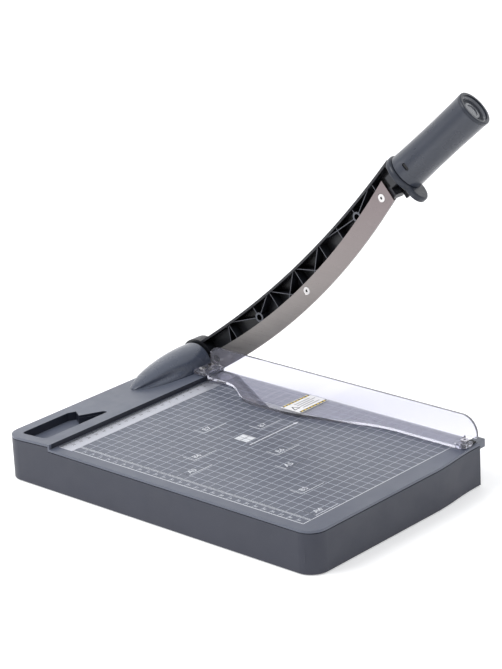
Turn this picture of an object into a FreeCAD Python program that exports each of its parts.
import FreeCAD, Part
import math
import os
from FreeCAD import Vector

# Guillotine paper cutter for A4 sheets, millimetres.
# +X points to the blade's side, +Y to the raised ledge at the back, +Z up.
# Shapes are drawn about the middle of the base, on the surface that the feet stand on.
# main() then moves them all so that the origin is the bottom centre of the whole cutter.
# The arm is drawn closed (level, pointing to -Y) and then swung up to its rest pose.

# ---------------------------------------------------------------- driving dimensions
BASE_WIDTH = 242.0
BASE_DEPTH = 382.0
TABLE_Z = 42.0              # top of the deck
FOOT_GAP = 1.0              # the housing's rim clears the surface by this much
CORNER_R = 17.5             # left corners of the base
WALL = 3.0
SKIN = 2.2                  # thickness of the top cover
SEAM = 0.7                  # open joint line between top cover and housing

LEDGE_DEPTH = 61.0          # from the fence to the back of the base
FENCE_HEIGHT = 4.6
LEDGE_FALL = 3.6            # the ledge's top falls this much towards the back

RECESS_DEPTH = 5.0          # the front wall curves back towards the right corner
RECESS_START = 72.0         # distance of the curve from the cutting plane
RECESS_END = 6.0

PIVOT_BACK = 38.0           # pivot axis behind the fence
PIVOT_UP = 5.0              # pivot axis above the deck
OPEN_ANGLE = 41.0           # how far the arm stands open at rest, degrees

BLADE_T = 2.2
BLADE_GAP = 0.12            # between the two blades' faces
BLADE_START = 20.0          # near end of the blade from the pivot, along the arm
BLADE_REACH = 335.5         # end of the blade from the pivot
ARM_T = 14.0
ARM_WEB = 2.5
HUB_R = 21.0
BOLT_R = 4.0
BUSH_R = 5.6

GRIP_R = 17.9
GRIP_LENGTH = 91.5
GRIP_OUT = 13.8             # the grip leans away from the base, degrees
GRIP_UP = 4.5               # and up
FLANGE_T = 6.0

GUARD_T = 2.5
GUARD_HEIGHT = 25.5         # top of the guard's wall above the deck
GUARD_LIFT = 1.5            # underside of the guard's foot above the deck at rest

# ---------------------------------------------------------------- derived places
CUT_X = BASE_WIDTH / 2
LEFT_X = -BASE_WIDTH / 2
FRONT_Y = -BASE_DEPTH / 2
REAR_Y = BASE_DEPTH / 2
FENCE_Y = REAR_Y - LEDGE_DEPTH
PIVOT = Vector(CUT_X, FENCE_Y + PIVOT_BACK, TABLE_Z + PIVOT_UP)
FLANGE_U = 352.5            # arm side of the hand guard from the pivot, along the arm
GRIP_W = 2.2                # grip axis above the pivot's level at the hand guard
ARM_LEFT = CUT_X + BLADE_GAP + BLADE_T
ARM_RIGHT = ARM_LEFT + ARM_T
ALONG_X = Vector(1, 0, 0)
UP = Vector(0, 0, 1)


# ---------------------------------------------------------------- helpers
def box(x0, x1, y0, y1, z0, z1):
    return Part.makeBox(x1 - x0, y1 - y0, z1 - z0, Vector(x0, y0, z0))


def cylinder(radius, start, direction, length):
    return Part.makeCylinder(radius, length, start, direction)


def ring(outer, inner, start, direction, length):
    return cylinder(outer, start, direction, length).cut(cylinder(inner, start, direction, length))


def rounded_box(x0, x1, y0, y1, z0, z1, radius):
    body = box(x0, x1, y0, y1, z0, z1)
    upright = [e for e in body.Edges if abs(e.tangentAt(0).z) > 0.9]
    return body.makeFillet(radius, upright)


def prism(points, direction):
    wire = Part.makePolygon(points + [points[0]])
    return Part.Face(wire).extrude(direction)


def arc_through(a, middle, b):
    return Part.Arc(a, middle, b).toShape()


def line(a, b):
    return Part.LineSegment(a, b).toShape()


def spline(points, start_tangent=None, end_tangent=None):
    curve = Part.BSplineCurve()
    if start_tangent is None:
        curve.interpolate(points)
    else:
        curve.interpolate(Points=points, InitialTangent=start_tangent, FinalTangent=end_tangent)
    return curve.toShape()


def solid_of(edges, direction):
    return Part.Face(Part.Wire(Part.__sortEdges__(edges))).extrude(direction)


def fuse(shapes):
    first, rest = shapes[0], shapes[1:]
    return first.multiFuse(rest).removeSplitter() if rest else first


def screw(tip, direction, shank_r, length, head_r, head_h, drive_r):
    """Screw whose shank starts at tip and runs along direction to its round head."""
    head_start = tip + direction * length
    body = fuse([cylinder(shank_r, tip, direction, length),
                 cylinder(head_r, head_start, direction, head_h)])
    drive = cylinder(drive_r, head_start + direction * (head_h * 0.4), direction, head_h)
    return body.cut(drive)


def countersunk(tip, direction, shank_r, length, head_r, drive_r):
    """Screw with a flat cone head that ends level with tip + direction * length."""
    cone_h = head_r - shank_r
    cone = Part.makeCone(shank_r, head_r, cone_h, tip + direction * (length - cone_h), direction)
    body = fuse([cylinder(shank_r, tip, direction, length - cone_h / 2), cone])
    return body.cut(cylinder(drive_r, tip + direction * (length - 1.0), direction, 2.0))


def coil_spring(wire_r, coil_r, length, turns):
    """Coil along +Z from the origin, with its wire's section square to the helix."""
    pitch = length / turns
    slope = math.atan2(pitch, 2 * math.pi * coil_r)
    start = Part.makeCircle(wire_r, Vector(coil_r, 0, 0), Vector(0, math.cos(slope), math.sin(slope)))
    helix = Part.Wire(Part.makeHelix(pitch, length, coil_r).Edges)
    return helix.makePipeShell([Part.Wire(start)], True, True)


# ---------------------------------------------------------------- base
def base_outline(z, inset=0.0):
    """Wire of the base's plan: rounded left corners, stepped front edge at the right."""
    left, right = LEFT_X + inset, CUT_X - 0.4 - inset
    front, rear = FRONT_Y + inset, REAR_Y - inset
    r = CORNER_R - inset
    bend = r * (1 - math.cos(math.radians(45)))
    step_x0, step_x1 = CUT_X - RECESS_START, CUT_X - RECESS_END
    middle_x = (step_x0 + step_x1) / 2
    edges = [
        line(Vector(left + r, front, z), Vector(step_x0, front, z)),
        spline([Vector(step_x0, front, z), Vector(middle_x, front + RECESS_DEPTH / 2, z),
                Vector(step_x1, front + RECESS_DEPTH, z)], ALONG_X, ALONG_X),
        line(Vector(step_x1, front + RECESS_DEPTH, z), Vector(right, front + RECESS_DEPTH, z)),
        line(Vector(right, front + RECESS_DEPTH, z), Vector(right, rear, z)),
        line(Vector(right, rear, z), Vector(left + r, rear, z)),
        arc_through(Vector(left + r, rear, z), Vector(left + bend, rear - bend, z),
                    Vector(left, rear - r, z)),
        line(Vector(left, rear - r, z), Vector(left, front + r, z)),
        arc_through(Vector(left, front + r, z), Vector(left + bend, front + bend, z),
                    Vector(left + r, front, z)),
    ]
    return Part.Wire(Part.__sortEdges__(edges))


def base_prism(z0, z1, inset=0.0):
    return Part.Face(base_outline(z0, inset)).extrude(UP * (z1 - z0))


def ledge_z(y):
    """Height of the ledge's sloping top at y."""
    return TABLE_Z + FENCE_HEIGHT - LEDGE_FALL * (y - FENCE_Y) / LEDGE_DEPTH


def above_surface(drop, fence_shift=0.0):
    """Everything above the deck-and-ledge profile lowered by drop."""
    x = LEFT_X - 5
    fence = FENCE_Y + fence_shift
    y0, y1 = FRONT_Y - 5, REAR_Y + 5
    points = [Vector(x, y0, TABLE_Z - drop), Vector(x, fence, TABLE_Z - drop),
              Vector(x, fence, ledge_z(fence) - drop), Vector(x, y1, ledge_z(y1) - drop),
              Vector(x, y1, 80), Vector(x, y0, 80)]
    return prism(points, ALONG_X * (BASE_WIDTH + 10))


# The storage pocket in the ledge narrows to a finger slot with a pointed end.
POCKET_DEPTH = 9.0
POCKET_LEFT = CUT_X - 231
POCKET_FRONT = FENCE_Y + 15.5
POCKET_REAR = FENCE_Y + 48.5
POCKET_FLOOR = TABLE_Z + FENCE_HEIGHT - POCKET_DEPTH - 2.0
POCKET_SHOULDER = CUT_X - 170
POCKET_TIP = CUT_X - 149


def pocket_prism(grow, z0, z1):
    points = [Vector(POCKET_LEFT, POCKET_FRONT, z0),
              Vector(POCKET_TIP, POCKET_FRONT, z0),
              Vector(POCKET_TIP, POCKET_FRONT + 5, z0),
              Vector(POCKET_SHOULDER, POCKET_FRONT + 18, z0),
              Vector(POCKET_SHOULDER + 7, POCKET_REAR - 4, z0),
              Vector(POCKET_SHOULDER, POCKET_REAR, z0),
              Vector(POCKET_LEFT, POCKET_REAR, z0)]
    wire = Part.makePolygon(points + [points[0]])
    body = Part.Face(wire).extrude(UP * (z1 - z0))
    corners = [e for e in body.Edges if abs(e.tangentAt(0).z) > 0.9 and e.CenterOfMass.x < POCKET_LEFT + 1]
    body = body.makeFillet(4.5, corners)
    tip = [e for e in body.Edges if abs(e.tangentAt(0).z) > 0.9 and e.CenterOfMass.x > POCKET_TIP - 1]
    body = body.makeFillet(1.8, tip)
    if grow:
        top = [f for f in body.Faces if f.CenterOfMass.z > z1 - 0.01][0]
        body = Part.Face(top.OuterWire.makeOffset2D(grow)).extrude(UP * (z0 - z1))
    return body


# Ruler strip, let into the deck along the fence.
RULER_LEFT = CUT_X - 232
RULER_RIGHT = CUT_X - 4
RULER_FRONT = FENCE_Y - 20
RULER_REAR = FENCE_Y - 1.5
RULER_T = 0.8
RULER_SEAT = 0.6

# Well under the pivot cover, for bracket, spring and nut.
WELL_LEFT = CUT_X - 72
WELL_RIGHT = CUT_X + 5
WELL_HALF = 13.0

# Guard fasteners: two on the ledge, one on the deck's front edge.
REAR_LUG_Y = FENCE_Y + 7
GUARD_SCREWS_XY = [(CUT_X - 23, REAR_LUG_Y), (CUT_X - 11, REAR_LUG_Y), (CUT_X - 14, FENCE_Y - 309)]
SPRING_WELL_R = 3.9
SPRING_WELL_DEPTH = 3.6
SPRING_CUP_R = SPRING_WELL_R + 1.0
SPRING_WIRE_R = 0.4
GUARD_POST_R = 4.0
SCREW_R = 1.9

# Blade lock, a bar that slides along X at the front right corner.
LOCK_Y0 = FENCE_Y - 313
LOCK_Y1 = FENCE_Y - 303.5
LOCK_Z0 = TABLE_Z - 7.5
LOCK_Z1 = TABLE_Z + 0.4
LOCK_LEFT = CUT_X - 8.7
LOCK_NOSE = CUT_X + 13.0
LOCK_PLAY = 0.35
LOCK_PAD_T = 1.0            # thumb pad on the bar
LOCK_HOOK_T = 2.2           # the hook under the bar keeps it in the housing
LOCK_HOOK_Z0 = LOCK_Z0 - 4.5

KNIFE_T = 2.0
KNIFE_FRONT = FENCE_Y - 300
KNIFE_REAR = FENCE_Y + 12
KNIFE_Z0 = 22.0
KNIFE_SCREW_YS = [KNIFE_FRONT + 18 + i * 68 for i in range(5)]
KNIFE_SCREW_Z = 31.0

BOTTOM_T = 2.0
RIB_PITCH = 76.0
RIB_T = 2.0
RIB_TOP = TABLE_Z - 17      # clear of the pocket's tub
BOSS_XS = (LEFT_X + 24, CUT_X - 30)
BOSS_YS = (FRONT_Y + 24, FRONT_Y + 24 + 2 * RIB_PITCH, REAR_Y - 24)
RIB_XS = (BOSS_XS[0], (BOSS_XS[0] + BOSS_XS[1]) / 2, BOSS_XS[1])
RIB_YS = [BOSS_YS[0] + i * RIB_PITCH for i in range(5)] + [BOSS_YS[2], FENCE_Y - 309]


def guard_well_z(y):
    surface = ledge_z(y) if y > FENCE_Y else TABLE_Z
    return surface - SPRING_WELL_DEPTH


def make_top_cover():
    cover = base_prism(10, 60).cut(above_surface(0)).common(above_surface(SKIN, SKIN))
    # Locating lip, just inside the housing's walls.
    lip = base_prism(TABLE_Z - 8, 60, WALL + 0.3).cut(base_prism(0, 70, WALL + 1.9))
    lip = lip.cut(above_surface(SKIN - 0.1, SKIN))
    lip = lip.cut(box(CUT_X - 14, CUT_X + 5, FRONT_Y, REAR_Y, 0, 70))
    for x, y in GUARD_SCREWS_XY:
        lip = lip.cut(cylinder(GUARD_POST_R + 0.3, Vector(x, y, 0), UP, 80))
    # Tub of the pocket.
    tub = pocket_prism(1.8, POCKET_FLOOR - 1.8, TABLE_Z + 0.2)
    cover = fuse([cover, lip, tub])
    cover = cover.cut(pocket_prism(0, POCKET_FLOOR, 60))
    # Seats, wells and holes.
    cover = cover.cut(box(RULER_LEFT, RULER_RIGHT, RULER_FRONT, RULER_REAR, TABLE_Z - RULER_SEAT, 60))
    cover = cover.cut(box(WELL_LEFT, WELL_RIGHT, PIVOT.y - WELL_HALF, PIVOT.y + WELL_HALF, 20, 60))
    for x, y in GUARD_SCREWS_XY:
        well_z = guard_well_z(y)
        cup = cylinder(SPRING_CUP_R, Vector(x, y, well_z - 1.6), UP, SPRING_WELL_DEPTH)
        cover = cover.fuse(cup.cut(above_surface(0)))
        cover = cover.cut(cylinder(SPRING_WELL_R, Vector(x, y, well_z), UP, 20))
        cover = cover.cut(cylinder(SCREW_R, Vector(x, y, 10), UP, 40))
    cover = cover.cut(box(LOCK_LEFT - LOCK_PLAY, CUT_X + 5, LOCK_Y0 - LOCK_PLAY,
                          LOCK_Y1 + LOCK_PLAY, 20, 60))
    cover = cover.cut(box(CUT_X - KNIFE_T, CUT_X + 5, KNIFE_FRONT, KNIFE_REAR, 20, 60))
    return cover.removeSplitter()


def make_base_housing():
    outer = base_prism(FOOT_GAP, 60)
    inner = base_prism(-5, 70, WALL)
    inner = inner.cut(box(CUT_X - 8, CUT_X + 5, FRONT_Y - 5, REAR_Y + 5, -10, 80))
    shell = outer.cut(inner)
    # Cross ribs, clear of the pocket's tub and of the bottom cover.
    half = RIB_T / 2
    ribs = [box(LEFT_X + 1, CUT_X - 4, y - half, y + half, 12, RIB_TOP) for y in RIB_YS]
    ribs += [box(x - half, x + half, FRONT_Y + 6, REAR_Y - 1, 12, RIB_TOP) for x in RIB_XS]
    bosses = [cylinder(4.5, Vector(x, y, FOOT_GAP + BOTTOM_T + 0.2), UP, 20)
              for x in BOSS_XS for y in BOSS_YS]
    bracket_boss = box(CUT_X - 46, CUT_X - 6, PIVOT.y - 14, PIVOT.y + 14, 12, 30)
    guard_posts = [cylinder(GUARD_POST_R, Vector(x, y, 14), UP, guard_well_z(y) - 1.9 - 14)
                   for x, y in GUARD_SCREWS_XY]
    frame = fuse([shell] + ribs + bosses + [bracket_boss] + guard_posts)
    frame = frame.cut(above_surface(SKIN + SEAM, SKIN))
    for x in BOSS_XS:
        for y in BOSS_YS:
            frame = frame.cut(cylinder(1.3, Vector(x, y, 0), UP, 15))
    for x, y in bracket_screw_places():
        frame = frame.cut(cylinder(1.9, Vector(x, y, 18), UP, 30))
    for x, y in GUARD_SCREWS_XY:
        frame = frame.cut(cylinder(1.3, Vector(x, y, 20), UP, 30))
        frame = frame.cut(cylinder(SPRING_CUP_R + 0.2, Vector(x, y, guard_well_z(y) - 1.9), UP, 20))
    frame = frame.cut(box(CUT_X - KNIFE_T, CUT_X + 5, KNIFE_FRONT, KNIFE_REAR, KNIFE_Z0, 60))
    frame = frame.cut(box(CUT_X - 14, CUT_X - 5, KNIFE_FRONT + 4, KNIFE_REAR - 4,
                          KNIFE_Z0 + 1, TABLE_Z - SKIN - 0.2))
    for y in KNIFE_SCREW_YS:
        frame = frame.cut(cylinder(2.2, Vector(CUT_X - 6, y, KNIFE_SCREW_Z), ALONG_X, 10))
    frame = frame.cut(box(LOCK_LEFT - LOCK_PLAY, CUT_X + 5, LOCK_Y0 - LOCK_PLAY,
                          LOCK_Y1 + LOCK_PLAY, LOCK_Z0 - LOCK_PLAY, 60))
    frame = frame.cut(box(LOCK_LEFT - LOCK_PLAY, CUT_X - 1.5, LOCK_Y0 - LOCK_PLAY,
                          LOCK_Y1 + LOCK_PLAY, LOCK_HOOK_Z0 - LOCK_PLAY, 60))
    frame = frame.cut(box(CUT_X - 9, CUT_X + 5, PIVOT.y - 14, PIVOT.y + 14, 29.9, 60))
    return frame.removeSplitter()


def make_bottom_cover():
    plate = base_prism(FOOT_GAP, FOOT_GAP + BOTTOM_T, WALL + 0.3)
    plate = plate.cut(box(CUT_X - 8.3, CUT_X + 5, FRONT_Y - 5, REAR_Y + 5, -10, 80))
    for x in BOSS_XS:
        for y in BOSS_YS:
            plate = plate.cut(cylinder(1.9, Vector(x, y, 0), UP, 5))
            plate = plate.cut(cylinder(3.8, Vector(x, y, 0), UP, FOOT_GAP + 0.8))
    for x, y in foot_places():
        plate = plate.cut(cylinder(4.0, Vector(x, y, 0), UP, 5))
    return plate


def foot_places():
    return [(x, y) for x in (LEFT_X + 38, CUT_X - 46) for y in (FRONT_Y + 30, REAR_Y - 30)]


def make_rubber_feet():
    feet = []
    for x, y in foot_places():
        pad = Part.makeCone(7.2, 8.0, 1.0, Vector(x, y, 0), UP)
        stem = cylinder(4.0, Vector(x, y, 0.9), UP, BOTTOM_T + 0.1)
        button = cylinder(5.0, Vector(x, y, FOOT_GAP + BOTTOM_T), UP, 1.2)
        feet.append(fuse([pad, stem, button]))
    return Part.makeCompound(feet)


def make_bottom_screws():
    return Part.makeCompound([screw(Vector(x, y, 12.8), Vector(0, 0, -1), 1.3, 11.0, 3.2, 0.6, 1.0)
                              for x in BOSS_XS for y in BOSS_YS])


def make_ruler_strip():
    z0 = TABLE_Z - RULER_SEAT
    strip = rounded_box(RULER_LEFT + 0.15, RULER_RIGHT - 0.15, RULER_FRONT + 0.15, RULER_REAR - 0.15,
                        z0, z0 + RULER_T, 1.0)
    top = [e for e in strip.Edges if e.CenterOfMass.z > z0 + RULER_T - 0.01]
    return strip.makeChamfer(0.15, top)


# ---------------------------------------------------------------- bed knife
def make_bed_knife():
    knife = box(CUT_X - KNIFE_T, CUT_X, KNIFE_FRONT + 0.2, KNIFE_REAR - 0.2, KNIFE_Z0 + 0.2, TABLE_Z)
    for y in KNIFE_SCREW_YS:
        hole = cylinder(2.05, Vector(CUT_X - 5, y, KNIFE_SCREW_Z), ALONG_X, 10)
        sink = Part.makeCone(2.15, 4.55, 2.4, Vector(CUT_X - 2.2, y, KNIFE_SCREW_Z), ALONG_X)
        knife = knife.cut(hole).cut(sink)
    return knife


def make_knife_rail():
    rail = box(CUT_X - 13, CUT_X - 5, KNIFE_FRONT + 6, KNIFE_REAR - 6, KNIFE_Z0 + 2, TABLE_Z - SKIN - 1)
    for y in KNIFE_SCREW_YS:
        rail = rail.cut(cylinder(2.0, Vector(CUT_X - 20, y, KNIFE_SCREW_Z), ALONG_X, 20))
    for x, y in GUARD_SCREWS_XY:
        rail = rail.cut(cylinder(6.5, Vector(x, y, 0), UP, 80))
    well = box(WELL_LEFT, CUT_X, PIVOT.y - WELL_HALF - 2, PIVOT.y + WELL_HALF + 2, 0, 80)
    return rail.cut(well)


def make_bed_knife_screws():
    return Part.makeCompound([
        countersunk(Vector(CUT_X - 12.5, y, KNIFE_SCREW_Z), ALONG_X, 2.0, 12.3, 3.9, 1.3)
        for y in KNIFE_SCREW_YS])


# ---------------------------------------------------------------- pivot group
BRACKET_T = 3.0
BRACKET_RIGHT = CUT_X - 3.6
BRACKET_HALF = 12.5
SPRING_LEFT = CUT_X - 44.0
SPRING_RIGHT = BRACKET_RIGHT - BRACKET_T - 3.2
NUT_LEFT = CUT_X - 53.0


def bracket_screw_places():
    return [(CUT_X - 34, PIVOT.y - 7), (CUT_X - 34, PIVOT.y + 7)]


def make_pivot_bracket():
    upright = box(BRACKET_RIGHT - BRACKET_T, BRACKET_RIGHT, PIVOT.y - BRACKET_HALF,
                  PIVOT.y + BRACKET_HALF, 30, PIVOT.z)
    eye = cylinder(BRACKET_HALF, Vector(BRACKET_RIGHT - BRACKET_T, PIVOT.y, PIVOT.z), ALONG_X, BRACKET_T)
    foot = box(CUT_X - 44, BRACKET_RIGHT, PIVOT.y - BRACKET_HALF, PIVOT.y + BRACKET_HALF, 30, 33)
    gusset = prism([Vector(BRACKET_RIGHT - BRACKET_T, PIVOT.y - 9, 33),
                    Vector(BRACKET_RIGHT - BRACKET_T - 9, PIVOT.y - 9, 33),
                    Vector(BRACKET_RIGHT - BRACKET_T, PIVOT.y - 9, 38)], Vector(0, 18, 0))
    bracket = fuse([upright, eye, foot, gusset])
    bracket = bracket.cut(cylinder(BUSH_R, Vector(CUT_X - 20, PIVOT.y, PIVOT.z), ALONG_X, 30))
    for x, y in bracket_screw_places():
        bracket = bracket.cut(cylinder(2.0, Vector(x, y, 28), UP, 8))
    return bracket


def make_bracket_screws():
    return Part.makeCompound([screw(Vector(x, y, 19), UP, 1.9, 14, 3.6, 2.2, 1.4)
                              for x, y in bracket_screw_places()])


def make_bracket_bush():
    left = BRACKET_RIGHT - BRACKET_T
    sleeve = cylinder(BUSH_R, Vector(left - 0.1, PIVOT.y, PIVOT.z), ALONG_X, BRACKET_T + 0.1)
    collar = cylinder(BUSH_R + 2.2, Vector(left - 1.5, PIVOT.y, PIVOT.z), ALONG_X, 1.5)
    bore = cylinder(BOLT_R + 0.05, Vector(left - 5, PIVOT.y, PIVOT.z), ALONG_X, 20)
    return fuse([sleeve, collar]).cut(bore)


def make_pivot_bolt():
    start = Vector(CUT_X - 58, PIVOT.y, PIVOT.z)
    head_x = ARM_RIGHT - 3.0
    shank = cylinder(BOLT_R, start, ALONG_X, head_x - start.x)
    head = cylinder(7.5, Vector(head_x, PIVOT.y, PIVOT.z), ALONG_X, 3.4)
    socket = cylinder(2.6, Vector(head_x + 1.4, PIVOT.y, PIVOT.z), ALONG_X, 3)
    return fuse([shank, head]).cut(socket)


def make_thrust_spacer():
    length = ARM_LEFT - 0.12 - BRACKET_RIGHT
    return ring(9.0, BOLT_R + 0.05, Vector(BRACKET_RIGHT, PIVOT.y, PIVOT.z), ALONG_X, length)


def make_tension_spring():
    wire_r = 1.0
    coil = coil_spring(wire_r, 6.2, SPRING_RIGHT - SPRING_LEFT - 2 * wire_r, 6)
    coil.rotate(Vector(0, 0, 0), Vector(0, 1, 0), 90)
    coil.translate(Vector(SPRING_LEFT + wire_r, PIVOT.y, PIVOT.z))
    return coil


def make_spring_washers():
    return Part.makeCompound([
        ring(8.0, BOLT_R + 0.1, Vector(x, PIVOT.y, PIVOT.z), ALONG_X, 1.5)
        for x in (SPRING_RIGHT, SPRING_LEFT - 1.5)])


def make_lock_nut():
    hexagon = [Vector(NUT_LEFT, PIVOT.y + 7.5 * math.cos(math.radians(a)),
                      PIVOT.z + 7.5 * math.sin(math.radians(a))) for a in range(0, 360, 60)]
    nut = prism(hexagon, ALONG_X * (SPRING_LEFT - 1.5 - NUT_LEFT))
    return nut.cut(cylinder(BOLT_R, Vector(NUT_LEFT - 1, PIVOT.y, PIVOT.z), ALONG_X, 20))


# The pivot cover is half a pointed bullet that lies along X on the ledge.
POD_LENGTH = 90.0
POD_HALF = 22.4
POD_HEIGHT = 21.5
POD_END_X = CUT_X - 1.8


def pod_section(t, shrink):
    """Closed wire of the cover's section at distance t from its tip."""
    run = min(t / 70.0, 1.0)
    half = POD_HALF * math.sqrt(1 - (1 - run) ** 2) - shrink
    rise = POD_HEIGHT * (1 - (1 - min(t / 82.0, 1.0)) ** 1.7) ** 0.72 - shrink
    pinch = 0.33 * max(0.0, 1 - t / 66.0)
    x = POD_END_X - POD_LENGTH + t
    points = []
    for i in range(17):
        angle = math.pi * i / 16
        low = math.exp(-((math.degrees(angle) - 24) / 14) ** 2)
        low += math.exp(-((156 - math.degrees(angle)) / 14) ** 2)
        scale = 1 - pinch * low
        y = PIVOT.y - half * math.cos(angle) * scale
        z = ledge_z(y) + rise * math.sin(angle) * scale
        points.append(Vector(x, y, z))
    return Part.Wire([spline(points), line(points[-1], points[0])])


def make_pivot_cover():
    outside = Part.makeLoft([pod_section(t, 0) for t in (0.4, 3, 8, 16, 28, 44, 62, 78, POD_LENGTH)], True)
    inside = Part.makeLoft([pod_section(t, 2.4) for t in (14, 20, 30, 44, 62, 78, POD_LENGTH + 1)], True)
    inside.translate(Vector(0, 0, -0.2))
    return outside.cut(inside)


# ---------------------------------------------------------------- blade arm
def arm_point(x, u, w):
    """Point of the closed arm: u forward of the pivot, w above it."""
    return Vector(x, PIVOT.y - u, PIVOT.z + w)


def open_up(shape):
    shape.rotate(PIVOT, ALONG_X, -OPEN_ANGLE)
    return shape


def arc_w(u, centre_u, centre_w, radius):
    return centre_w - math.sqrt(radius ** 2 - (u - centre_u) ** 2)


def spine_w(u):
    return arc_w(u, 153.0, 1148.0, 1144.0)


def blade_back_w(u):
    return arc_w(u, 147.0, 697.5, 713.0)


def blade_edge_w(u):
    return arc_w(u, 150.0, 710.0, 745.0)


def arm_low_w(u):
    return blade_edge_w(u) + 6.0


def arm_box(x0, x1, u0, u1, w0, w1):
    return box(x0, x1, PIVOT.y - u1, PIVOT.y - u0, PIVOT.z + w0, PIVOT.z + w1)


def band(x, low, high, u0, u1, thickness):
    """Solid between two curves of the arm, from x towards +X."""
    middle = (u0 + u1) / 2

    def curve(function):
        return arc_through(*[arm_point(x, u, function(u)) for u in (u0, middle, u1)])

    edges = [curve(low), curve(high),
             line(arm_point(x, u0, low(u0)), arm_point(x, u0, high(u0))),
             line(arm_point(x, u1, low(u1)), arm_point(x, u1, high(u1)))]
    return solid_of(edges, ALONG_X * thickness)


TANG_HALF = 5.0
TANG_LOW = -3.0
TANG_HIGH = 9.0
TANG_LENGTH = 60.0
GRIP_SCREW_Y = 3.0
ARM_START = 6.0
NECK_U = 337.5              # the closed channel ends here, the neck goes on to the hand guard
ARM_END = 366.0
NECK_FLOOR_W = -1.2         # underside of the neck, above the lock's nose when closed
FLANGE_WIDTH = 2.4          # thickness of the arm's upper and lower edges
ARM_RIB_T = 0.7
NECK_WALL = 6.0             # solid end of the neck, behind the hand guard
BLADE_SCREWS_UW = [(27.5, -13.1), (181.0, -21.3), (324.0, -2.2)]
BOSSES_UW = [(104.6, -9.5), (283.0, 0.5)]
RIB_STATIONS = [63.0, 134.0, 178.5, 223.0, 253.5, 320.0]
DIAGONALS = [((63.0, "top"), (45.0, "low")), ((63.0, "top"), (104.6, "boss")),
             ((104.6, "boss"), (134.0, "top")), ((134.0, "top"), (178.5, "low")),
             ((134.0, "low"), (178.5, "top")), ((178.5, "top"), (223.0, "low")),
             ((178.5, "low"), (223.0, "top")), ((223.0, "top"), (283.0, "boss")),
             ((283.0, "boss"), (320.0, "top"))]


def rib_end(u, place):
    if place == "top":
        return spine_w(u)
    if place == "low":
        return arm_low_w(u)
    return dict(BOSSES_UW)[u]


def rib(u0, w0, u1, w1):
    """Upright rib in the arm's channel between two points."""
    x = ARM_LEFT + 1.2
    along = arm_point(x, u1, w1) - arm_point(x, u0, w0)
    side = along.cross(ALONG_X).normalize() * (ARM_RIB_T / 2)
    a, b = arm_point(x, u0, w0), arm_point(x, u1, w1)
    return prism([a - side, b - side, b + side, a + side], ALONG_X * (ARM_RIGHT - ARM_WEB - x + 0.5))


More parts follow.
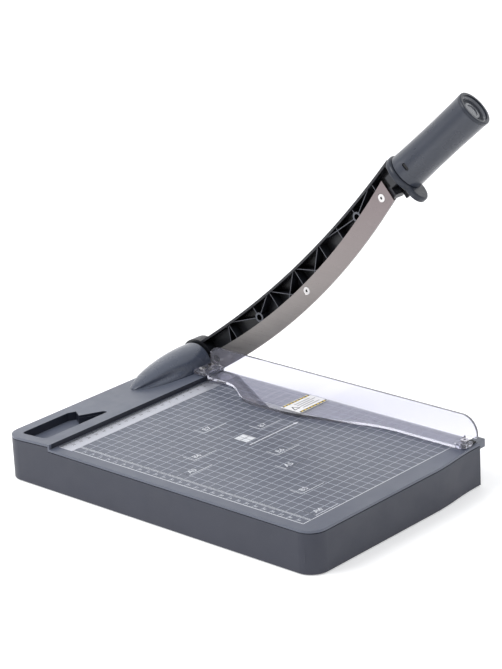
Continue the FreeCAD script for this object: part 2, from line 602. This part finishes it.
def make_arm_frame():
    hub = cylinder(HUB_R, Vector(ARM_LEFT, PIVOT.y, PIVOT.z), ALONG_X, ARM_T)
    outer = band(ARM_LEFT, arm_low_w, spine_w, ARM_START, NECK_U, ARM_T)
    neck = band(ARM_LEFT, lambda u: arm_low_w(u) - 4.0, spine_w, NECK_U - 4, ARM_END, ARM_T)
    frame = fuse([outer, hub, neck])
    channel = band(ARM_LEFT - 1, lambda u: arm_low_w(u) + FLANGE_WIDTH,
                   lambda u: spine_w(u) - FLANGE_WIDTH, HUB_R - 3, NECK_U - 2, ARM_T - ARM_WEB + 1)
    channel = channel.cut(cylinder(HUB_R, Vector(ARM_LEFT - 5, PIVOT.y, PIVOT.z), ALONG_X, 40))
    frame = frame.cut(channel)
    neck_end = FLANGE_U - NECK_WALL
    neck_channel = band(ARM_LEFT - 1, arm_low_w, lambda u: spine_w(u) - FLANGE_WIDTH, NECK_U - 4, neck_end,
                        ARM_T - ARM_WEB + 1)
    neck_floor = NECK_FLOOR_W + FLANGE_WIDTH
    frame = frame.cut(neck_channel.common(arm_box(ARM_LEFT - 2, ARM_RIGHT, NECK_U - 5, ARM_END, neck_floor, 60)))
    # Pocket under the neck, open to the left and below, that takes the lock's nose.
    frame = frame.cut(arm_box(ARM_LEFT - 1, ARM_RIGHT - ARM_WEB, NECK_U + 1.5, ARM_END, -30, NECK_FLOOR_W))
    lock_plate = arm_box(ARM_RIGHT - ARM_WEB, ARM_RIGHT, NECK_U, ARM_END, -14.8, NECK_FLOOR_W)
    frame = fuse([frame, lock_plate])
    # Ribs, bosses and seats of the blade screws.
    inside = band(ARM_LEFT, arm_low_w, spine_w, HUB_R - 6, NECK_U - 1, ARM_T)
    pieces = [rib(u, spine_w(u), u, arm_low_w(u)) for u in RIB_STATIONS]
    pieces += [rib(u, rib_end(u, "boss"), u, spine_w(u)) for u, w in BOSSES_UW]
    pieces += [rib(a[0], rib_end(*a), b[0], rib_end(*b)) for a, b in DIAGONALS]
    depth = ARM_T - ARM_WEB
    pieces += [cylinder(5.0, arm_point(ARM_LEFT + 1.2, u, w), ALONG_X, depth - 1.0) for u, w in BOSSES_UW]
    pieces += [cylinder(5.5, arm_point(ARM_LEFT, u, w), ALONG_X, depth + 0.2) for u, w in BLADE_SCREWS_UW]
    lattice = fuse(pieces).common(inside)
    frame = fuse([frame, lattice])
    for u, w in BOSSES_UW:
        frame = frame.cut(cylinder(3.1, arm_point(ARM_LEFT - 1, u, w), ALONG_X, depth - 1.0))
    for u, w in BLADE_SCREWS_UW:
        frame = frame.cut(cylinder(3.0, arm_point(ARM_LEFT - 1, u, w), ALONG_X, 10.0))
    frame = frame.cut(cylinder(BUSH_R + 1.4, Vector(ARM_LEFT - 1, PIVOT.y, PIVOT.z), ALONG_X, 30))
    frame = frame.cut(cylinder(10.0, Vector(ARM_RIGHT - 3.6, PIVOT.y, PIVOT.z), ALONG_X, 10))
    # Slot in the plate that the lock's nose enters when the arm is closed.
    frame = frame.cut(box(ARM_RIGHT - ARM_WEB - 1, ARM_RIGHT + 1, LOCK_Y0 - 0.8, LOCK_Y1 + 0.8,
                          LOCK_Z0 - 0.8, LOCK_Z1 + 0.8))
    # Cut square to the grip, then add the tang.
    beyond = box(-60, 60, -60, 60, 0, 60)
    beyond.Placement = grip_placement()
    frame = frame.cut(beyond)
    tang = box(-TANG_HALF, TANG_HALF, TANG_LOW, TANG_HIGH, -14, TANG_LENGTH)
    tang = tang.cut(cylinder(1.6, Vector(0, GRIP_SCREW_Y, TANG_LENGTH - 20), UP, 50))
    tang.Placement = grip_placement()
    tang = tang.common(arm_box(ARM_LEFT, ARM_LEFT + 60, NECK_U - 4, 460, NECK_FLOOR_W, 60))
    return open_up(fuse([frame, tang]).removeSplitter())


def grip_placement():
    """Frame of the grip on the closed arm: local +Z along its axis, +Y up, origin at the flange."""
    out, up = math.radians(GRIP_OUT), math.radians(GRIP_UP)
    axis = Vector(math.sin(out) * math.cos(up), -math.cos(out) * math.cos(up), math.sin(up))
    side = Vector(math.cos(out), math.sin(out), 0)
    top = axis.cross(side)
    rotation = FreeCAD.Rotation(side, top, axis, "ZXY")
    return FreeCAD.Placement(arm_point(CUT_X + 8, FLANGE_U, GRIP_W), rotation)


def on_grip(shape):
    shape.Placement = grip_placement().multiply(shape.Placement)
    return open_up(shape)


def make_arm_bush():
    left = ARM_LEFT + 0.02
    body = cylinder(BUSH_R + 1.4, Vector(left, PIVOT.y, PIVOT.z), ALONG_X, ARM_T - 3.7)
    return open_up(body.cut(cylinder(BOLT_R + 0.05, Vector(left - 2, PIVOT.y, PIVOT.z), ALONG_X, 30)))


def make_hub_cap():
    start = Vector(ARM_RIGHT, PIVOT.y, PIVOT.z)
    cap = cylinder(13.0, start, ALONG_X, 3.6)
    rim = [e for e in cap.Edges if e.CenterOfMass.x > ARM_RIGHT + 3]
    cap = cap.makeFillet(2.2, rim)
    hollow = cylinder(9.0, Vector(ARM_RIGHT - 1, PIVOT.y, PIVOT.z), ALONG_X, 2.6)
    skirt = ring(9.9, 9.0, Vector(ARM_RIGHT - 3.0, PIVOT.y, PIVOT.z), ALONG_X, 3.2)
    return open_up(fuse([cap.cut(hollow), skirt]))


def make_blade():
    x = CUT_X + BLADE_GAP
    blade = band(x, blade_edge_w, blade_back_w, BLADE_START, BLADE_REACH, BLADE_T)
    root = cylinder(BLADE_REACH, arm_point(x - 1, 0, 0), ALONG_X, BLADE_T + 2)
    blade = blade.common(root)
    bevel_low = band(x + BLADE_T - 1.2, lambda u: blade_edge_w(u) - 5, blade_edge_w, 0.0, 360.0, 5)
    blade = blade.cut(bevel_low)
    for u, w in BLADE_SCREWS_UW:
        blade = blade.cut(cylinder(2.1, arm_point(x - 1, u, w), ALONG_X, 6))
        blade = blade.cut(Part.makeCone(4.3, 2.1, 2.0, arm_point(x, u, w), ALONG_X))
    return open_up(blade)


def make_blade_screws():
    left = Vector(-1, 0, 0)
    return open_up(Part.makeCompound([
        countersunk(arm_point(CUT_X + BLADE_GAP + 9.0, u, w), left, 2.0, 9.0 - 0.1, 3.9, 1.4)
        for u, w in BLADE_SCREWS_UW]))


def make_blade_inserts():
    return open_up(Part.makeCompound([
        ring(3.0, 2.0, arm_point(ARM_LEFT + 0.1, u, w), ALONG_X, 8.0) for u, w in BLADE_SCREWS_UW]))


def make_hand_guard():
    disc = cylinder(GRIP_R + 1.9, Vector(0, 0, 0), UP, FLANGE_T)
    tongue = cylinder(12.5, Vector(0, -18.5, 0), UP, FLANGE_T)
    web = box(-12.5, 12.5, -18.5, 0, 0, FLANGE_T)
    guard = fuse([disc, tongue, web])
    rim = [e for e in guard.Edges if e.CenterOfMass.z > FLANGE_T - 0.01]
    guard = guard.makeFillet(2.2, rim)
    arm_side = [e for e in guard.Edges if e.CenterOfMass.z < 0.01]
    guard = guard.makeFillet(1.4, arm_side)
    play = 0.2
    guard = guard.cut(box(-TANG_HALF - play, TANG_HALF + play, TANG_LOW - play, TANG_HIGH + play,
                          -1, FLANGE_T + 1))
    return on_grip(guard)


GRIP_Z0 = FLANGE_T + 0.6
CLIP_Z = GRIP_Z0 + 10.0     # slot of the snap tab, along the grip
CAP_H = 8.6
CAP_R = GRIP_R - 3.3
CAP_PLATE_R = 8.6


def make_grip():
    base_r, waist_r = GRIP_R, GRIP_R - 0.7
    z0, z1 = GRIP_Z0, GRIP_Z0 + GRIP_LENGTH - 3.0
    middle = (z0 + z1) / 2
    side = arc_through(Vector(base_r, 0, z0), Vector(waist_r, 0, middle), Vector(base_r, 0, z1))
    edges = [line(Vector(0, 0, z0), Vector(base_r, 0, z0)), side,
             line(Vector(base_r, 0, z1), Vector(0, 0, z1)), line(Vector(0, 0, z1), Vector(0, 0, z0))]
    body = Part.Face(Part.Wire(edges)).revolve(Vector(0, 0, 0), UP, 360)
    hollow = cylinder(GRIP_R - 3.5, Vector(0, 0, z0 - 1), UP, GRIP_LENGTH - 14)
    mouth = cylinder(GRIP_R - 3.2, Vector(0, 0, z1 - 9), UP, 20)
    body = body.cut(hollow).cut(mouth)
    body = body.cut(cylinder(1.8, Vector(0, GRIP_SCREW_Y, z1 - 20), UP, 20))
    slot = box(-GRIP_R - 5, -8, -4.0, 4.0, CLIP_Z - 1.6, CLIP_Z + 1.6)
    ends = [e for e in slot.Edges if abs(e.tangentAt(0).x) > 0.9]
    slot = slot.makeFillet(1.5, ends)
    return on_grip(body.cut(slot))


def make_grip_clip():
    """Snap tab of the tang, seen in the grip's slot."""
    tab = box(-GRIP_R + 1.2, -TANG_HALF, -3.4, 3.4, CLIP_Z - 1.1, CLIP_Z + 1.1)
    block = box(-10.5, -TANG_HALF, TANG_LOW, TANG_HIGH - 2, CLIP_Z - 8, CLIP_Z + 11)
    return on_grip(fuse([tab, block]))


def make_grip_ring():
    z1 = GRIP_Z0 + GRIP_LENGTH
    outer = cylinder(GRIP_R, Vector(0, 0, z1 - 2.8), UP, 2.8)
    rim = [e for e in outer.Edges if e.CenterOfMass.z > z1 - 0.1]
    outer = outer.makeFillet(1.2, rim)
    return on_grip(outer.cut(cylinder(GRIP_R - 3.2, Vector(0, 0, z1 - 5), UP, 10)))


def make_grip_cap():
    """Cap below the ring's rim: a flat rim, a deep groove and a plate in the middle."""
    z0 = GRIP_Z0 + GRIP_LENGTH - 10.0
    top = z0 + CAP_H
    cap = cylinder(CAP_R, Vector(0, 0, z0), UP, CAP_H)
    cap = cap.cut(Part.makeCone(CAP_R - 2.4, CAP_R - 1.2, 1.6, Vector(0, 0, top - 1.6), UP))
    groove = cylinder(CAP_R - 2.4, Vector(0, 0, top - 4.6), UP, 5)
    plate = Part.makeCone(CAP_PLATE_R + 1.0, CAP_PLATE_R, 2.4, Vector(0, 0, top - 4.6), UP)
    dimple = cylinder(CAP_PLATE_R - 2.6, Vector(0, 0, top - 2.9), UP, 3)
    return on_grip(cap.cut(groove).fuse(plate).cut(dimple).removeSplitter())


def make_grip_screw():
    start = TANG_LENGTH - 18
    length = GRIP_Z0 + GRIP_LENGTH - 3.0 - 9 - start
    return on_grip(screw(Vector(0, GRIP_SCREW_Y, start), UP, 1.6, length, 3.6, 1.6, 1.3))


# ---------------------------------------------------------------- guard
LUG_Z0 = TABLE_Z + FENCE_HEIGHT + GUARD_LIFT
FRONT_LUG_RISE = 1.2        # the front lug is this much higher than the foot
FOOT_NARROW_REAR = 26.0     # width of the foot from the cutting plane
FOOT_WIDE = 52.0
FOOT_NARROW_FRONT = 25.0
GUARD_FRONT = FENCE_Y - 314.5
GUARD_REAR = FENCE_Y + 14.5
WALL_LEFT = CUT_X - 3.4


def make_guard_plate():
    z0 = TABLE_Z + GUARD_LIFT
    z1 = z0 + GUARD_T
    top = TABLE_Z + GUARD_HEIGHT
    # Upright wall with a large front curve and a smaller rear one.
    wall = box(WALL_LEFT, WALL_LEFT + GUARD_T, GUARD_FRONT, GUARD_REAR, z0, top)
    front_top = [e for e in wall.Edges if abs(e.tangentAt(0).x) > 0.9
                 and e.CenterOfMass.z > top - 1 and e.CenterOfMass.y < GUARD_FRONT + 1]
    wall = wall.makeFillet(17.0, front_top)
    rear_top = [e for e in wall.Edges if abs(e.tangentAt(0).x) > 0.9
                and e.CenterOfMass.z > top - 1 and e.CenterOfMass.y > GUARD_REAR - 1]
    wall = wall.makeFillet(9.0, rear_top)
    front_low = [e for e in wall.Edges if abs(e.tangentAt(0).x) > 0.9
                 and e.CenterOfMass.z < z0 + 0.1 and e.CenterOfMass.y < GUARD_FRONT + 1]
    wall = wall.makeFillet(3.4, front_low)
    wall = wall.cut(box(WALL_LEFT - 1, CUT_X, FENCE_Y - 1.0, REAR_Y, 0, LUG_Z0))
    # Foot with its waved inner edge.
    def edge_point(setback, y_from_fence):
        return Vector(CUT_X - setback, FENCE_Y - y_from_fence, z0)

    back = Vector(0, -1, 0)
    wave_rear = spline([edge_point(FOOT_NARROW_REAR, 26), edge_point(34, 47), edge_point(43.5, 60),
                        edge_point(FOOT_WIDE, 92)], back, back)
    wave_front = spline([edge_point(FOOT_WIDE, 112), edge_point(44.5, 157), edge_point(38.5, 180),
                         edge_point(FOOT_NARROW_FRONT, 240)], back, back)
    foot_front = 311.0
    edges = [
        line(edge_point(0.9, 1.2), edge_point(FOOT_NARROW_REAR, 1.2)),
        line(edge_point(FOOT_NARROW_REAR, 1.2), edge_point(FOOT_NARROW_REAR, 26)),
        wave_rear,
        line(edge_point(FOOT_WIDE, 92), edge_point(FOOT_WIDE, 112)),
        wave_front,
        line(edge_point(FOOT_NARROW_FRONT, 240), edge_point(FOOT_NARROW_FRONT, foot_front)),
        line(edge_point(FOOT_NARROW_FRONT, foot_front), edge_point(0.9, foot_front)),
        line(edge_point(0.9, foot_front), edge_point(0.9, 1.2)),
    ]
    foot = solid_of(edges, UP * GUARD_T)
    # Rear lug steps up over the fence, front lug is a low block.
    riser = box(CUT_X - FOOT_NARROW_REAR, CUT_X - 0.9, FENCE_Y - 3.4, FENCE_Y - 1.2, z0, LUG_Z0 + GUARD_T)
    rear_lug = rounded_box(CUT_X - 30.5, CUT_X - 0.9, FENCE_Y - 3.4, GUARD_REAR, LUG_Z0,
                           LUG_Z0 + GUARD_T, 3.0)
    front_lug = rounded_box(CUT_X - 22.0, CUT_X - 6.5, FENCE_Y - 315.5, FENCE_Y - 302, z0,
                            z1 + FRONT_LUG_RISE, 2.0)
    guard = fuse([wall, foot, riser, rear_lug, front_lug])
    guard = guard.cut(box(CUT_X - 10.6, CUT_X + 1, FENCE_Y - 320, LOCK_Y1 + 3.5, 0, TABLE_Z + 5.2))
    for x, y in GUARD_SCREWS_XY:
        guard = guard.cut(cylinder(SCREW_R + 0.4, Vector(x, y, TABLE_Z - 5), UP, 30))
    return guard.removeSplitter()


def guard_lug_top(y):
    return LUG_Z0 + GUARD_T if y > FENCE_Y else TABLE_Z + GUARD_LIFT + GUARD_T + FRONT_LUG_RISE


def guard_lug_bottom(y):
    return LUG_Z0 if y > FENCE_Y else TABLE_Z + GUARD_LIFT


def make_guard_screws():
    screws = []
    for x, y in GUARD_SCREWS_XY:
        start = Vector(x, y, 24)
        length = guard_lug_top(y) + 0.15 - start.z
        body = screw(start, UP, SCREW_R, length, 3.7, 1.7, 1.2)
        tip = cylinder(5, Vector(x, y, 20), UP, guard_well_z(y) - 1.7 - 20)
        core = cylinder(1.3, Vector(x, y, 24), UP, 30)
        screws.append(body.cut(tip.cut(core)))
    return Part.makeCompound(screws)


def guard_spring(x, y):
    end_gap = SPRING_WIRE_R + 0.05
    z0 = guard_well_z(y) + end_gap
    coil = coil_spring(SPRING_WIRE_R, 3.0, guard_lug_bottom(y) - end_gap - z0, 3)
    coil.translate(Vector(x, y, z0))
    return coil


def make_ledge_springs():
    return Part.makeCompound([guard_spring(x, y) for x, y in GUARD_SCREWS_XY if y > FENCE_Y])


def make_deck_spring():
    return Part.makeCompound([guard_spring(x, y) for x, y in GUARD_SCREWS_XY if y < FENCE_Y])


def make_guard_label():
    z = TABLE_Z + GUARD_LIFT + GUARD_T
    return rounded_box(CUT_X - 46, CUT_X - 5.4, FENCE_Y - 139, FENCE_Y - 114, z, z + 0.15, 1.0)


# ---------------------------------------------------------------- blade lock
def make_lock_slide():
    bar = box(LOCK_LEFT, LOCK_NOSE, LOCK_Y0, LOCK_Y1, LOCK_Z0, LOCK_Z1)
    nose = [e for e in bar.Edges if e.CenterOfMass.x > LOCK_NOSE - 0.1]
    bar = bar.makeFillet(3.0, nose)
    hook = box(LOCK_LEFT, LOCK_LEFT + LOCK_HOOK_T, LOCK_Y0, LOCK_Y1, LOCK_HOOK_Z0, LOCK_Z0 + 1)
    return fuse([bar, hook])


def make_lock_pad():
    z0 = LOCK_Z1
    pad = rounded_box(CUT_X - 8.2, CUT_X - 0.8, LOCK_Y0 + 0.6, LOCK_Y1 - 0.6, z0, z0 + LOCK_PAD_T, 1.2)
    for i in range(4):
        groove = box(CUT_X - 7.2 + i * 1.7, CUT_X - 6.5 + i * 1.7, LOCK_Y0, LOCK_Y1, z0 + 0.5, z0 + 3)
        pad = pad.cut(groove)
    return pad


# ---------------------------------------------------------------- writing
NODES = {
    "top_cover": make_top_cover,
    "base_housing": make_base_housing,
    "bottom_cover": make_bottom_cover,
    "rubber_feet": make_rubber_feet,
    "bottom_screws": make_bottom_screws,
    "ruler_strip": make_ruler_strip,
    "bed_knife": make_bed_knife,
    "knife_rail": make_knife_rail,
    "bed_knife_screws": make_bed_knife_screws,
    "pivot_bracket": make_pivot_bracket,
    "bracket_screws": make_bracket_screws,
    "bracket_bush": make_bracket_bush,
    "pivot_bolt": make_pivot_bolt,
    "thrust_spacer": make_thrust_spacer,
    "tension_spring": make_tension_spring,
    "spring_washers": make_spring_washers,
    "lock_nut": make_lock_nut,
    "pivot_cover": make_pivot_cover,
    "arm_frame": make_arm_frame,
    "arm_bush": make_arm_bush,
    "hub_cap": make_hub_cap,
    "blade": make_blade,
    "blade_screws": make_blade_screws,
    "blade_inserts": make_blade_inserts,
    "hand_guard": make_hand_guard,
    "grip": make_grip,
    "grip_clip": make_grip_clip,
    "grip_ring": make_grip_ring,
    "grip_cap": make_grip_cap,
    "grip_screw": make_grip_screw,
    "guard_plate": make_guard_plate,
    "guard_screws": make_guard_screws,
    "ledge_springs": make_ledge_springs,
    "deck_spring": make_deck_spring,
    "guard_label": make_guard_label,
    "lock_slide": make_lock_slide,
    "lock_pad": make_lock_pad,
}


def main():
    shapes = {name: maker() for name, maker in NODES.items()}
    whole = Part.makeCompound(list(shapes.values())).optimalBoundingBox()
    shift = Vector(-whole.Center.x, -whole.Center.y, -whole.ZMin)
    print("moved by", shift, "whole size", whole.XLength, whole.YLength, whole.ZLength)
    os.makedirs("parts", exist_ok=True)
    for name, shape in shapes.items():
        shape.translate(shift)
        size = shape.optimalBoundingBox()
        print(f"{name:18s} solids {len(shape.Solids)} valid {shape.isValid()} volume {shape.Volume:10.1f}"
              f"  x {size.XMin:7.1f} {size.XMax:7.1f} y {size.YMin:7.1f} {size.YMax:7.1f}"
              f"  z {size.ZMin:6.1f} {size.ZMax:6.1f}")
        shape.exportStep(f"parts/{name}.step")


main()
